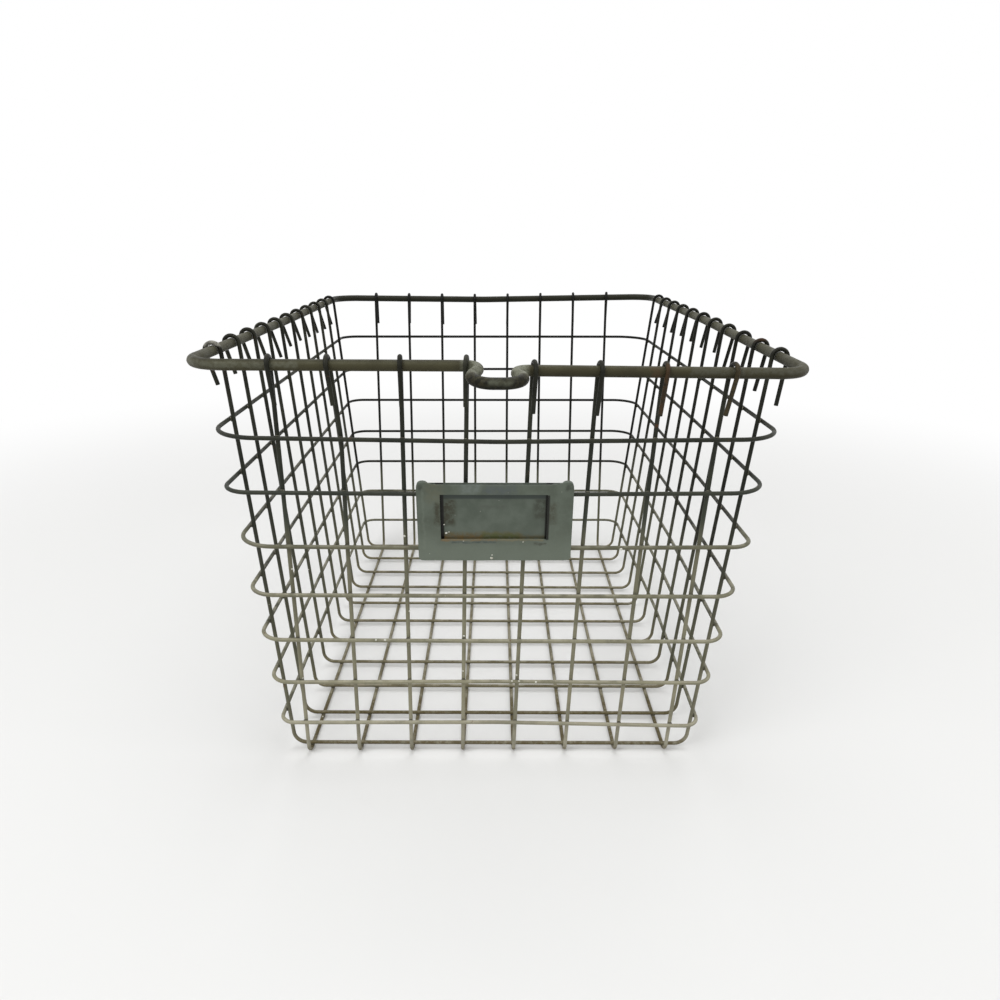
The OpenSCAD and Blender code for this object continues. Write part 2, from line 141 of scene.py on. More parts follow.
class Pattern:
    """Makes the nodes of one material and joins them. Its lengths are millimetres."""

    def __init__(self, name: str, turn: Matrix | None = None) -> None:
        """Starts a material.

        Args:
            name: The material's name.
            turn: Takes a place in the part's frame, in millimetres, to the pattern's own frame.
        """
        self.material = bpy.data.materials.new(name)
        self.material.use_nodes = True
        tree = self.material.node_tree
        self.nodes, self.links = tree.nodes, tree.links
        self.shader = self.nodes["Principled BSDF"]
        coordinates = self.nodes.new("ShaderNodeTexCoord")
        self.normal = coordinates.outputs["Normal"]
        centre = self.nodes.new("ShaderNodeMapping")
        centre.inputs["Scale"].default_value = (1 / MM, 1 / MM, 1 / MM)
        if turn is not None:
            centre.inputs["Rotation"].default_value = turn.to_euler()
            centre.inputs["Location"].default_value = turn.to_translation()
        self.links.new(coordinates.outputs["Object"], centre.inputs["Vector"])
        self.place = centre.outputs["Vector"]

    def put(self, socket: Socket, value: Socket | float | Colour) -> None:
        """Joins a socket to another, or sets it to a value."""
        if isinstance(value, bpy.types.NodeSocket):
            self.links.new(value, socket)
        else:
            socket.default_value = value

    def calc(self, how: str, first: Socket | float, second: Socket | float = 0.0) -> Socket:
        """Adds one sum.

        Args:
            how: The operation.
            first: The first value.
            second: The second value.

        Returns:
            The result.
        """
        node = self.nodes.new("ShaderNodeMath")
        node.operation = how
        self.put(node.inputs[0], first)
        self.put(node.inputs[1], second)
        return node.outputs[0]

    def step(
        self, value: Socket, start: float, end: float, low: float = 0, high: float = 1
    ) -> Socket:
        """Passes smoothly from one value to another.

        Args:
            value: What the step reads.
            start: Where it starts.
            end: Where it ends.
            low: The value before it.
            high: The value after it.

        Returns:
            The stepped value.
        """
        node = self.nodes.new("ShaderNodeMapRange")
        node.interpolation_type = "SMOOTHSTEP"
        self.put(node.inputs["Value"], value)
        names = ("From Min", "From Max", "To Min", "To Max")
        for name, level in zip(names, (start, end, low, high)):
            node.inputs[name].default_value = level
        return node.outputs["Result"]

    def noise(self, size: float, detail: float = 3, rough: float = 0.55) -> Socket:
        """Adds a cloudy pattern.

        Args:
            size: The width of its clouds, in millimetres.
            detail: How many finer layers it has.
            rough: How strong the finer layers are.

        Returns:
            Its value, about 0.5 in the mean.
        """
        node = self.nodes.new("ShaderNodeTexNoise")
        self.links.new(self.place, node.inputs["Vector"])
        node.inputs["Scale"].default_value = 1 / size
        node.inputs["Detail"].default_value = detail
        node.inputs["Roughness"].default_value = rough
        return node.outputs["Fac"]

    def flecks(self, size: float, spread: float) -> Socket:
        """Adds small round flecks.

        Args:
            size: The distance between them, in millimetres.
            spread: Their radius as a share of that distance.

        Returns:
            1 in a fleck and 0 outside.
        """
        node = self.nodes.new("ShaderNodeTexVoronoi")
        self.links.new(self.place, node.inputs["Vector"])
        node.inputs["Scale"].default_value = 1 / size
        return self.step(node.outputs["Distance"], spread * 0.6, spread, 1, 0)

    def mix(
        self, share: Socket | float, first: Socket | Colour, second: Socket | Colour
    ) -> Socket:
        """Mixes two colours.

        Args:
            share: How much of the second colour there is.
            first: The first colour.
            second: The second colour.

        Returns:
            The mixed colour.
        """
        node = self.nodes.new("ShaderNodeMix")
        node.data_type = "RGBA"
        self.put(node.inputs[0], share)
        self.put(node.inputs[6], first)
        self.put(node.inputs[7], second)
        return node.outputs[2]

    def ramp(self, value: Socket, stops: Stops) -> Socket:
        """Passes through a row of colours.

        Args:
            value: What the ramp reads.
            stops: The colours and the values at which they stand, in rising order.

        Returns:
            The colour.
        """
        low, high = stops[0][0], stops[-1][0]
        share = self.calc("DIVIDE", self.calc("SUBTRACT", value, low), high - low)
        node = self.nodes.new("ShaderNodeValToRGB")
        elements = node.color_ramp.elements
        for _ in stops[2:]:
            elements.new(0.5)
        for element, (place, colour) in zip(elements, stops):
            element.position = (place - low) / (high - low)
            element.color = colour
        self.links.new(share, node.inputs[0])
        return node.outputs["Color"]

    def axes(self, place: Socket) -> list[Socket]:
        """Splits a place into its three numbers."""
        node = self.nodes.new("ShaderNodeSeparateXYZ")
        self.links.new(place, node.inputs[0])
        return list(node.outputs)

    def strayed(self, size: float, reach: float) -> Socket:
        """Makes coordinates that wander, so that what is drawn in them gets ragged edges.

        Args:
            size: The width of the wander's clouds, in millimetres.
            reach: How far it goes, in millimetres.

        Returns:
            The wandering coordinates.
        """
        clouds = self.nodes.new("ShaderNodeTexNoise")
        self.links.new(self.place, clouds.inputs["Vector"])
        clouds.inputs["Scale"].default_value = 1 / size
        clouds.inputs["Detail"].default_value = 4
        push = self.nodes.new("ShaderNodeVectorMath")
        push.operation = "MULTIPLY_ADD"
        self.links.new(clouds.outputs["Color"], push.inputs[0])
        push.inputs[1].default_value = (reach, reach, reach)
        self.links.new(self.place, push.inputs[2])
        back = self.nodes.new("ShaderNodeVectorMath")
        back.operation = "SUBTRACT"
        self.links.new(push.outputs[0], back.inputs[0])
        back.inputs[1].default_value = (reach / 2, reach / 2, reach / 2)
        return back.outputs[0]

    def inside(self, mark: Mark, axes: list[Socket]) -> Socket | float:
        """Says how far a place lies inside a mark.

        Args:
            mark: The mark.
            axes: The place's three numbers.

        Returns:
            From 0 outside to the mark's strength inside.
        """
        share: Socket | float = mark.strength
        for value, reach in zip(axes, (mark.x, mark.y, mark.z)):
            if reach is not None:
                rise = self.step(value, reach[0] - mark.soft, reach[0] + mark.soft)
                fall = self.step(value, reach[1] - mark.soft, reach[1] + mark.soft, 1, 0)
                share = self.calc("MULTIPLY", self.calc("MULTIPLY", rise, fall), share)
        return share

    def marked(self, colour: Socket, marks: tuple[Mark, ...], size: float, reach: float) -> Socket:
        """Lays marks over a colour, one after another.

        Args:
            colour: The colour under them.
            marks: The marks.
            size: The width of the clouds that fray their edges, in millimetres.
            reach: How far the edges fray, in millimetres.

        Returns:
            The colour with its marks.
        """
        frayed, plain = self.axes(self.strayed(size, reach)), self.axes(self.place)
        blotches = self.step(self.noise(0.7 * size, 4, 0.65), 0.36, 0.58, 0.35, 1)
        for mark in marks:
            share = self.inside(mark, frayed if mark.frayed else plain)
            if mark.frayed:
                share = self.calc("MULTIPLY", share, blotches)
            colour = self.mix(share, colour, mark.colour)
        return colour

    def bump(self, height: Socket, deep: float, strength: float = 1.0) -> None:
        """Gives the surface a fine relief.

        Args:
            height: The relief, from 0 to 1.
            deep: How deep 1 is, in millimetres.
            strength: How much of it shows.
        """
        node = self.nodes.new("ShaderNodeBump")
        node.inputs["Strength"].default_value = strength
        node.inputs["Distance"].default_value = deep * MM
        self.links.new(height, node.inputs["Height"])
        self.links.new(node.outputs["Normal"], self.shader.inputs["Normal"])


@dataclass(frozen=True)
class RodFinish:
    """Old grey-green enamel on steel: clouded, paler on top partly from wear and dust and partly from painted
    light from above, with rust where it chipped.

    The colours change with height, the one way on the front wall and the other behind it; these height ramps also
    paint light and shade.
    """

    name: str
    front: Stops
    behind: Stops
    cloud_colour: Colour
    toplit_and_rubbed_colour: Colour
    rust_colour: Colour = paint(92, 62, 40)
    behind_y: Range = (-153, -143)
    cloud_size: float = 17
    cloud_share: float = 0.3
    toplit_and_rubbed_share: float = 0.45
    toplit_and_rubbed_high: float = 0.5
    rust_from: Range = (0.665, 0.71)
    specular: float = 0.16
    marks: tuple[Mark, ...] = ()

    def material(self) -> bpy.types.Material:
        """Builds the finish.

        Returns:
            The material.
        """
        coat = Pattern(self.name)
        _, y, z = coat.axes(coat.place)
        inner = coat.step(y, *self.behind_y)
        # The height ramps carry painted light and shade as well as the enamel's own colour.
        base = coat.mix(inner, coat.ramp(z, self.front), coat.ramp(z, self.behind))
        clouds = coat.step(coat.noise(self.cloud_size, 4), 0.42, 0.62, 0, self.cloud_share)
        base = coat.mix(clouds, base, self.cloud_colour)
        grain = coat.noise(1.3, 4, 0.7)
        base = coat.mix(coat.step(grain, 0.55, 0.72, 0, 0.3), base, self.cloud_colour)
        # Paler on upward faces: partly wear and dust, partly painted light from above.
        upward = coat.step(coat.axes(coat.normal)[2], 0.1, 0.85)
        patchy = coat.step(coat.noise(9, 5, 0.65), 0.40, 0.60, 0, self.toplit_and_rubbed_share)
        lower = coat.step(z, 120, 185, 1, self.toplit_and_rubbed_high)
        toplit_and_rubbed = coat.calc("MULTIPLY", coat.calc("MULTIPLY", upward, patchy), lower)
        base = coat.mix(toplit_and_rubbed, base, self.toplit_and_rubbed_colour)
        spots = coat.step(coat.noise(6.5, 6, 0.68), *self.rust_from)
        base = coat.mix(coat.calc("MULTIPLY", spots, 0.7), base, self.rust_colour)
        pale = coat.calc("MULTIPLY", coat.flecks(7, 0.07), 0.5)
        base = coat.mix(coat.calc("MULTIPLY", pale, lower), base, self.toplit_and_rubbed_colour)
        base = coat.marked(base, self.marks, 3.5, 3.0)
        coat.put(coat.shader.inputs["Base Color"], base)
        smooth = coat.step(coat.noise(5, 4), 0.35, 0.65, 0.42, 0.58)
        rough = coat.calc("MAXIMUM", smooth, coat.calc("MULTIPLY", spots, 0.85))
        coat.put(coat.shader.inputs["Roughness"], rough)
        coat.shader.inputs["Metallic"].default_value = 0.1
        coat.shader.inputs["Specular IOR Level"].default_value = self.specular
        coat.bump(coat.calc("ADD", coat.calc("MULTIPLY", spots, -0.8), grain), 0.09, 0.8)
        return coat.material


@dataclass(frozen=True)
class SheetFinish:
    """The card holder's grey-green enamel, clouded and stained, with painted light on its lower part, in the
    wall's own frame.
    """

    name: str
    turn: Matrix
    colour: Colour
    cloud_colour: Colour
    pale_colour: Colour
    rust_colour: Colour = paint(104, 76, 44)
    marks: tuple[Mark, ...] = ()
    flecked: float = 0.5

    def material(self) -> bpy.types.Material:
        """Builds the finish.

        Returns:
            The material.
        """
        coat = Pattern(self.name, self.turn)
        clouds = coat.step(coat.noise(13, 4, 0.6), 0.36, 0.66)
        base = coat.mix(clouds, self.colour, self.cloud_colour)
        # Painted light: the lower part of the sheet is mixed towards the pale colour.
        painted_light_below = coat.step(coat.axes(coat.place)[1], -20, 4, 0.75, 0)
        base = coat.mix(painted_light_below, base, self.pale_colour)
        grain = coat.noise(0.9, 5, 0.7)
        base = coat.mix(coat.step(grain, 0.54, 0.74, 0, 0.3), base, self.cloud_colour)
        scuffs = coat.step(coat.noise(3.2, 6, 0.72), 0.60, 0.70, 0, 0.35)
        base = coat.mix(scuffs, base, self.pale_colour)
        chips = coat.calc("MULTIPLY", coat.flecks(5.5, 0.06), self.flecked)
        base = coat.mix(chips, base, paint(176, 178, 166))
        spots = coat.step(coat.noise(4.4, 6, 0.7), 0.70, 0.75)
        base = coat.mix(spots, base, self.rust_colour)
        base = coat.marked(base, self.marks, 3.4, 3.0)
        coat.put(coat.shader.inputs["Base Color"], base)
        rough = coat.step(coat.noise(6, 4), 0.3, 0.7, 0.42, 0.60)
        coat.put(coat.shader.inputs["Roughness"], rough)
        coat.shader.inputs["Specular IOR Level"].default_value = 0.3
        coat.bump(coat.calc("ADD", coat.calc("MULTIPLY", spots, -0.8), grain), 0.07, 0.8)
        return coat.material


@dataclass(frozen=True)
class BareFinish:
    """Metal that the paint left: dull weld nuggets or bright flecks."""

    name: str
    colour: Colour
    dark_colour: Colour
    metallic: float
    rough: Range

    def material(self) -> bpy.types.Material:
        """Builds the finish.

        Returns:
            The material.
        """
        bare = Pattern(self.name)
        clouds = bare.step(bare.noise(1.6, 4, 0.65), 0.40, 0.62)
        bare.put(bare.shader.inputs["Base Color"], bare.mix(clouds, self.colour, self.dark_colour))
        bare.put(bare.shader.inputs["Roughness"], bare.step(clouds, 0, 1, *self.rough))
        bare.shader.inputs["Metallic"].default_value = self.metallic
        bare.bump(bare.noise(0.5, 3), 0.08)
        return bare.material


# Where the part's wires run


@dataclass(frozen=True)
class Layout:
    """Where the part's wires, bands and card holder run, with the sizes of its source, in mm."""

    rim_width: float = 305
    rim_depth: float = 396
    rim_height: float = 250
    hook_radius: float = 4.25
    origin_y: float = 11.7
    floor_width: float = 251.2
    floor_depth: float = 330.1
    low_run: float = 1.175
    high_run: float = 3.525
    front_back_pitch: float = 31.9
    cross_pitch: float = 31.75
    front_back_count: int = 8
    cross_count: int = 11
    first_band: float = 28.2
    band_pitch: float = 30.95
    band_count: int = 7
    band_out: float = 2.35
    foot_shift: float = -2.6
    front_foot_shifts: tuple[float, ...] = (-6, -6.4, -5.5, -5.3, -5.2, -4.8, -4.7, -4.9)
    back_foot_shift: float = -2.5
    back_top_shift: float = -2.8
    front_top_shifts: tuple[float, ...] = (1.2, 1.4, 0.2, 0.5, 0.5, 0.5, 0.6, 0.1)
    left_foot_shift: float = 1.6
    right_foot_shift: float = -1.2
    cross_top_shift: float = 3.1
    cross_top_closer: float = 0.976
    left_bulge: tuple[float, float, float] = (-0.5, 0.6, 0.2)
    right_bulge: tuple[float, float, float] = (-2.7, 1.5, -1)
    bulge_middle_y: float = -20
    left_drops: tuple[float, ...] = (0, 0, 0.2, 0.8, 0.8, -0.3, 0.3)
    middle_drops: tuple[float, ...] = (0.4, 0, 1.6, 1.7, 2.2, 1, 2.5)
    right_drops: tuple[float, ...] = (4.2, 1.6, 2.3, 2.4, 1.4, 0, 0.8)
    back_left_drops: tuple[float, ...] = (0, 0, 0.5, 0.9, 0.6, 1.6, 1)
    holder_x: float = -1.7
    holder_drop: float = 0.2
    holder_out: float = 3.55

    def lean(self, foot: float, reach: float) -> float:
        """Works out a wall wire's angle from upright.

        Args:
            foot: The wire's distance from the middle at table height.
            reach: The rim rod's distance from the middle.

        Returns:
            The angle, in radians.
        """
        run = reach - foot
        touch = self.hook_radius / math.hypot(run, self.rim_height)
        return math.atan2(run, self.rim_height) - math.asin(touch)

    def end_lean(self) -> float:
        """Gives the angle of the front and back walls."""
        return self.lean(self.floor_depth / 2, self.rim_depth / 2)

    def foot(self, side: int, y: float) -> float:
        """Gives a side wall's distance from the middle at table height.

        Args:
            side: -1 for the left wall and 1 for the right.
            y: The place along the wall.

        Returns:
            The distance, in millimetres.
        """
        bulges = self.left_bulge if side < 0 else self.right_bulge
        half = self.floor_depth / 2
        places = ((-half, bulges[0]), (self.bulge_middle_y, bulges[1]), (half, bulges[2]))
        return self.floor_width / 2 + side * self.foot_shift + lookup(y, places)

    def framed(self, x: float, y: float, z: float) -> Vector:
        """Moves a place from the rim's middle to the part's frame."""
        return Vector((x, y + self.origin_y, z))

    def wall_line(self, foot: float, reach: float, run_z: float) -> tuple[Range, Range]:
        """Gives a wall wire's two ends as distances from the middle and heights.

        Args:
            foot: The wire's distance from the middle at table height.
            reach: The rim rod's distance from the middle.
            run_z: The height of its floor run.

        Returns:
            The lower and the upper end.
        """
        slope = math.tan(self.lean(foot, reach))
        top = self.rim_height + self.hook_radius
        return (foot + run_z * slope, run_z), (foot + top * slope, top)

    def end_wires(self) -> list[Line]:
        """Gives the centre lines of the front and back walls' wires, in pairs."""
        lines = []
        low, high = self.wall_line(self.floor_depth / 2, self.rim_depth / 2, self.low_run)
        for index in range(self.front_back_count):
            even = (index - (self.front_back_count - 1) / 2) * self.front_back_pitch
            for side, low_x, high_x in (
                (-1, even + self.front_foot_shifts[index], even + self.front_top_shifts[index]),
                (1, even + self.back_foot_shift, even + self.back_top_shift),
            ):
                bottom = self.framed(low_x, side * low[0], low[1])
                lines.append((bottom, self.framed(high_x, side * high[0], high[1])))
        return lines

    def side_wires(self) -> list[Line]:
        """Gives the centre lines of the side walls' wires, in pairs."""
        lines = []
        for index in range(self.cross_count):
            even = (index - (self.cross_count - 1) / 2) * self.cross_pitch
            top_y = self.cross_top_closer * even + self.cross_top_shift
            for side, shift in ((-1, self.left_foot_shift), (1, self.right_foot_shift)):
                foot = self.foot(side, even + shift)
                low, high = self.wall_line(foot, self.rim_width / 2, self.high_run)
                bottom = self.framed(side * low[0], even + shift, low[1])
                lines.append((bottom, self.framed(side * high[0], top_y, high[1])))
        return lines

    def floor_wires(self) -> tuple[list[Line], list[Line]]:
        """Gives the centre lines of the floor's wires.

        Returns:
            The front-to-back lines and the cross lines.
        """
        ends, sides = self.end_wires(), self.side_wires()
        along = [(front[0], back[0]) for front, back in zip(ends[::2], ends[1::2])]
        across = [(left[0], right[0]) for left, right in zip(sides[::2], sides[1::2])]
        return along, across

    def band_z(self, band: int) -> float:
        """Gives the height of a band's back stretch, counted from 1 at the bottom."""
        return self.first_band + (band - 1) * self.band_pitch

    def end_y(self, z: float) -> float:
        """Gives a band's distance from the rim's middle at the front and the back."""
        lean = self.end_lean()
        return self.floor_depth / 2 + z * math.tan(lean) + self.band_out / math.cos(lean)

    def side_x(self, side: int, y: float, z: float) -> float:
        """Gives a band's place at a side.

        Args:
            side: -1 for the left wall and 1 for the right.
            y: The place along the wall.
            z: The band's height there.

        Returns:
            The place across.
        """
        foot = self.foot(side, y)
        wall = foot + z * math.tan(self.lean(foot, self.rim_width / 2))
        even_lean = self.lean(self.floor_width / 2, self.rim_width / 2)
        return side * (wall + self.band_out / math.cos(even_lean))

    def band_lines(self, band: int) -> list[Line]:
        """Gives the centre lines of a band's seven stretches.

        Args:
            band: The band, counted from 1 at the bottom.

        Returns:
            The lines, in order round the basket.
        """
        back = self.band_z(band)
        left = back - self.left_drops[band - 1]
        middle = back - self.middle_drops[band - 1]
        right = back - self.right_drops[band - 1]
        back_left = back - self.back_left_drops[band - 1]
        corners = [self.framed(0, -self.end_y(middle), middle)]
        for side, y, z in (
            (1, -self.end_y(right), right),
            (1, self.bulge_middle_y, (right + back) / 2),
            (1, self.end_y(back), back),
            (-1, self.end_y(back_left), back_left),
            (-1, self.bulge_middle_y, (left + back_left) / 2),
            (-1, -self.end_y(left), left),
        ):
            corners.append(self.framed(self.side_x(side, y, z), y, z))
        return list(zip(corners, corners[1:] + corners[:1]))

    def on_front_wall(self) -> Matrix:
        """Gives the card holder's frame: X across, Y up the wall, Z straight out of it."""
        lean = self.end_lean()
        z = (self.band_z(5) + self.band_z(6)) / 2 - self.holder_drop
        wall = self.floor_depth / 2 + z * math.tan(lean)
        turn = Matrix.Rotation(math.pi / 2 + lean, 4, "X")
        stand = Matrix.Translation((0, 0, self.holder_out))
        return Matrix.Translation(self.framed(self.holder_x, -wall, z)) @ turn @ stand


# Pieces


def make_piece(
    name: str, shape: bmesh.types.BMesh, material: bpy.types.Material
) -> bpy.types.Object:
    """Turns a finished shape in millimetres into a piece that rides on the basket.

    Args:
        name: The piece's name.
        shape: Its shape, which is freed.
        material: Its finish.

    Returns:
        The piece's object.
    """
    bmesh.ops.scale(shape, vec=(MM, MM, MM), verts=shape.verts)
    for face in shape.faces:
        face.smooth = True
    mesh = bpy.data.meshes.new(name)
    shape.to_mesh(mesh)
    shape.free()
    mesh.materials.append(material)
    piece = bpy.data.objects.new(name, mesh)
    bpy.context.scene.collection.objects.link(piece)
    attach(piece, BODY)
    LOG.info("%s: %d faces", name, len(mesh.polygons))
    return piece


@dataclass
class Welds:
    """The spot welds where wires and bands cross, as small squeezed nuggets in the crevices."""

    layout: Layout
    finish: bpy.types.Material
    reach: float = 1.55
    thick: float = 0.62
    unevenness: float = 0.22
    most_apart: float = 2.9
    sides: int = 8
    rings: int = 5

    def add_nugget(self, shape: bmesh.types.BMesh, first: Line, second: Line) -> None:
        """Adds the weld of two wires where they cross, if they do.

        Args:
            shape: The shape to add to.
            first: The centre line of one wire.
            second: The centre line of the other.
        """
        pair = intersect_line_line(*first, *second)
        if pair is None or (pair[0] - pair[1]).length > self.most_apart:
            return
        for place, (start, end) in zip(pair, (first, second)):
            share = (place - start).dot(end - start) / (end - start).length_squared
            if not 0 <= share <= 1:
                return
        middle = (pair[0] + pair[1]) / 2
        out = (pair[1] - pair[0]).normalized()
        along = (first[1] - first[0]).normalized()
        wander = noise.noise_vector(middle * 0.37) * self.unevenness
        axes = Matrix((
            along * self.reach * (1 + wander.x),
            out.cross(along) * self.reach * (1 + wander.y),
            out * self.thick * (1 + wander.z),
        )).transposed().to_4x4()
        bmesh.ops.create_uvsphere(
            shape,
            u_segments=self.sides,
            v_segments=self.rings,
            radius=1,
            matrix=Matrix.Translation(middle) @ axes,
        )

    def build(self) -> list[bpy.types.Object]:
        """Makes the welds of each band and of the floor.

        Returns:
            The pieces.
        """
        pieces = []
        uprights = self.layout.end_wires() + self.layout.side_wires()
        for band in range(1, self.layout.band_count + 1):
            shape = bmesh.new()
            for stretch in self.layout.band_lines(band):
                for upright in uprights:
                    self.add_nugget(shape, upright, stretch)
            pieces.append(make_piece(f"welds_band_{band}", shape, self.finish))
        shape = bmesh.new()
        along, across = self.layout.floor_wires()
        for low in along:
            for high in across:
                self.add_nugget(shape, low, high)
        pieces.append(make_piece("welds_floor", shape, self.finish))
        return pieces


@dataclass
class CardHolder:
    """The holder's pressed face: ears, folded sides, a raised panel and the window's lip."""

    layout: Layout
    finish: bpy.types.Material
    width: float = 81.7
    height: float = 45.1
    window_left: float = 12.2
    window_top: float = 5.6
    window_width: float = 56
    window_height: float = 26.5
    sheet: float = 0.8
    depth: float = 2.6
    wall_end: float = 0.05
    ear_width: float = 6.1
    ear_rise: float = 1.3
    ear_slope: float = 4.2
    least_fold: float = 0.85
    ear_corner: float = 3.0
    ear_reach: float = 7
    low_corner: float = 2.0
    panel_rise: float = 0.4
    panel_side: float = 2.9
    panel_below: float = 3
    panel_slope: float = 0.9
    lip_rise: float = 0.35
    lip_width: float = 0.6
    fold: float = 0.75
    wave: float = 0.16
    wave_size: float = 13
    edge_round: float = 0.14
    corner_cuts: tuple[float, ...] = (0, 0.35, 0.8, 1.4, 2.1)
    spacing: float = 1.6

    def spread(self, fixed: list[float]) -> list[float]:
        """Fills the gaps between fixed places evenly.

        Args:
            fixed: The fixed places, in rising order.

        Returns:
            All the places, in rising order.
        """
        places = [fixed[0]]
        for start, end in zip(fixed, fixed[1:]):
            count = max(1, math.ceil((end - start) / self.spacing))
            places += [start + (end - start) * step / count for step in range(1, count + 1)]
        return places

    def window(self) -> tuple[Range, Range]:
        """Gives the window's reach across and up the wall, from the holder's middle."""
        left = -self.width / 2 + self.window_left
        top = self.height / 2 - self.window_top
        return (left, left + self.window_width), (top - self.window_height, top)

    def lines(self) -> tuple[list[float], list[float]]:
        """Gives the columns and rows of the sheet's grid."""
        half_width, half_height = self.width / 2, self.height / 2
        (left, right), (bottom, top) = self.window()
        foot_left, foot_right = left - self.panel_side, right + self.panel_side
        columns = [-half_width + cut for cut in self.corner_cuts]
        columns += [-half_width + self.ear_width, foot_left, foot_left + self.panel_slope]
        columns += [left - self.lip_width, left, right, right + self.lip_width]
        columns += [foot_right - self.panel_slope, foot_right, half_width - self.ear_width]
        columns += [half_width - cut for cut in reversed(self.corner_cuts)]
        rows = [-half_height + cut for cut in self.corner_cuts]
        rows += [bottom - self.panel_below, bottom - self.panel_below + self.panel_slope]
        rows += [bottom - self.lip_width, bottom, top, top + self.lip_width]
        rows += [half_height - cut for cut in reversed(self.corner_cuts)]
        return self.spread(columns), self.spread(rows)

    def rounded(self, x: float, y: float) -> tuple[float, float]:
        """Rounds the sheet's corners by drawing in what lies in their squares.

        Args:
            x: The place across.
            y: The place up the wall.

        Returns:
            The place after rounding.
        """
        corner = self.ear_corner if y > 0 else self.low_corner
        past_x = abs(x) - (self.width / 2 - corner)
        past_y = abs(y) - (self.height / 2 - corner)
        if past_x <= 0 or past_y <= 0:
            return x, y
        shrink = max(past_x, past_y) / math.hypot(past_x, past_y)
        new_x = self.width / 2 - corner + past_x * shrink
        new_y = self.height / 2 - corner + past_y * shrink
        return math.copysign(new_x, x), math.copysign(new_y, y)

    def raised(self, x: float, y: float) -> float:
        """Gives how far the sheet's outside stands out at a place.

        Args:
            x: The place across.
            y: The place up the wall.

        Returns:
            The height in the holder's frame, in millimetres.
        """
        (left, right), (bottom, _) = self.window()
        slope = self.panel_slope
        foot_left, foot_right = left - self.panel_side, right + self.panel_side
        panel = ease(x, foot_left, foot_left + slope) - ease(x, foot_right - slope, foot_right)
        panel *= ease(y, bottom - self.panel_below, bottom - self.panel_below + slope)
        lip = ease(y, bottom - self.lip_width, bottom) if y <= bottom + MM else 0.0
        lip *= ease(x, left - 1, left) - ease(x, right, right + 1)
        waves = noise.noise(Vector((x, y, 3.3)) / self.wave_size)
        dents = noise.noise(Vector((x, y, 9.1)) / (0.35 * self.wave_size))
        flat = self.depth + self.wave * (waves + 0.3 * dents)
        return flat + self.panel_rise * panel + self.lip_rise * lip

    def build(self) -> bpy.types.Object:
        """Makes the face from one sheet, folded back at its sides and its bottom.

        Returns:
            The piece.
        """
        columns, rows = self.lines()
        last_column, last_row = len(columns) - 1, len(rows) - 1
        half_width, half_height = self.width / 2, self.height / 2
        shape = bmesh.new()
        bmesh.ops.create_grid(shape, x_segments=last_column, y_segments=last_row, size=1)
        folded = set()
        inner, outer = self.ear_width - self.ear_slope / 2, self.ear_width + self.ear_slope / 2
        for vert in shape.verts:
            column = round((vert.co.x + 1) / 2 * last_column)
            row = round((vert.co.y + 1) / 2 * last_row)
            flat_x, flat_y = columns[column], rows[row]
            x, y = self.rounded(flat_x, flat_y)
            on_ear = 1 - ease(half_width - abs(x), inner, outer)
            y += self.ear_rise * on_ear * ease(flat_y, half_height - self.ear_reach, half_height)
            if column in (0, last_column) or row == 0:
                folded.add(vert)
            elif row == last_row and abs(flat_x) > half_width - outer:
                folded.add(vert)
            vert.co = (x, y, self.raised(x, y))
        (left, right), (bottom, top) = self.window()
        cut = []
        for face in shape.faces:
            middle = face.calc_center_median()
            if left < middle.x < right and bottom < middle.y < top:
                cut.append(face)
        bmesh.ops.delete(shape, geom=cut, context="FACES")
        border = [
            edge for edge in shape.edges
            if edge.is_boundary and edge.verts[0] in folded and edge.verts[1] in folded
        ]
        walls = bmesh.ops.extrude_edge_only(shape, edges=border)
        for item in walls["geom"]:
            if isinstance(item, bmesh.types.BMVert):
                deep = item.co.z - self.wall_end
                if item.co.y > half_height:
                    deep *= 1 - ease(half_width - abs(item.co.x), inner, outer)
                item.co.z -= max(deep, self.least_fold)
        bmesh.ops.bevel(
            shape, geom=border, offset=self.fold, offset_type="OFFSET", affect="EDGES",
            segments=4, profile=0.5, material=-1, clamp_overlap=True,
        )
        bmesh.ops.recalc_face_normals(shape, faces=shape.faces)
        if sum(face.normal.z * face.calc_area() for face in shape.faces) < 0:
            bmesh.ops.reverse_faces(shape, faces=shape.faces)
        bmesh.ops.transform(shape, matrix=self.layout.on_front_wall(), verts=shape.verts)
        piece = make_piece("holder_pressed_face", shape, self.finish)
        thick = piece.modifiers.new("sheet", "SOLIDIFY")
        thick.thickness = self.sheet * MM
        thick.offset = -1
        soften = piece.modifiers.new("edges", "BEVEL")
        soften.width = self.edge_round * MM
        soften.segments = 2
        soften.limit_method = "ANGLE"
        soften.angle_limit = math.radians(50)
        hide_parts("holder_face")
        return piece


# Camera, floor and light


